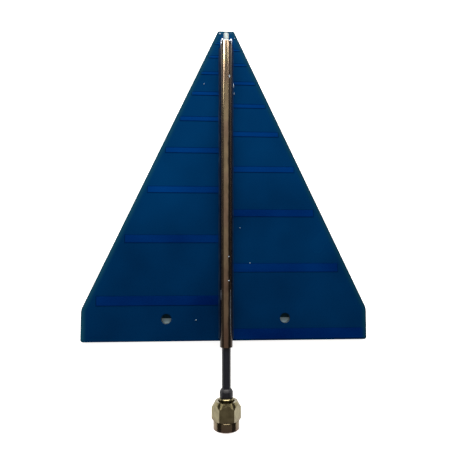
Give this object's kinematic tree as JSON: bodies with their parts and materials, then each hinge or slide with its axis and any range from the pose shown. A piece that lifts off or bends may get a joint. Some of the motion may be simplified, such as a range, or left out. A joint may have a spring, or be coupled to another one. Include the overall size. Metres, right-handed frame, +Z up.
{
  "type": "log periodic antenna",
  "caption": "Flat tapered printed board with strips on alternate sides of a centre boom, a copper feed tube soldered along it and a short cable ending in a threaded plug",
  "frame": {"origin": "on the bench under the middle of the part's bounding box, the part lying on its back", "axes": "+Y runs along the boom from the plug to the narrow tip, +X across the board to the right with the tip pointing away, +Z up out of the tube's side of the board"},
  "size_m": [0.092, 0.129, 0.0082],
  "materials": {
    "mask": "dark blue solder mask over glass laminate",
    "foil": "copper foil under the same blue mask",
    "copper": "bare drawn copper, slightly tarnished",
    "solder": "bright tin solder",
    "silver": "silvered copper",
    "jacket": "smooth black cable jacket",
    "boot": "black shrink sleeve",
    "white": "white fluoropolymer",
    "gold": "gold plating over brass",
    "spring": "bronze spring wire"
  },
  "bodies": {
    "antenna_body": {"board_laminate": "mask", "front_element_foil": "foil", "back_element_foil": "foil", "feed_tube": "copper", "tube_solder_seam": "solder", "tip_shield_solder": "solder", "back_tip_solder": "solder", "coax_jacket": "jacket", "coax_braid": "silver", "coax_dielectric": "white", "coax_centre_wire": "silver", "crimp_boot": "boot", "crimp_ferrule": "gold", "plug_body": "gold", "plug_insulator": "white", "centre_pin": "gold", "retaining_ring": "spring"},
    "nut_body": {"coupling_nut": "gold"}
  },
  "joints": [
    {"name": "coupling_nut_spin", "type": "hinge", "parent": "antenna_body", "child": "nut_body", "pos_m": [0, -0.0602, 0.0041], "axis": [0, 1, 0], "continuous": true}
  ]
}
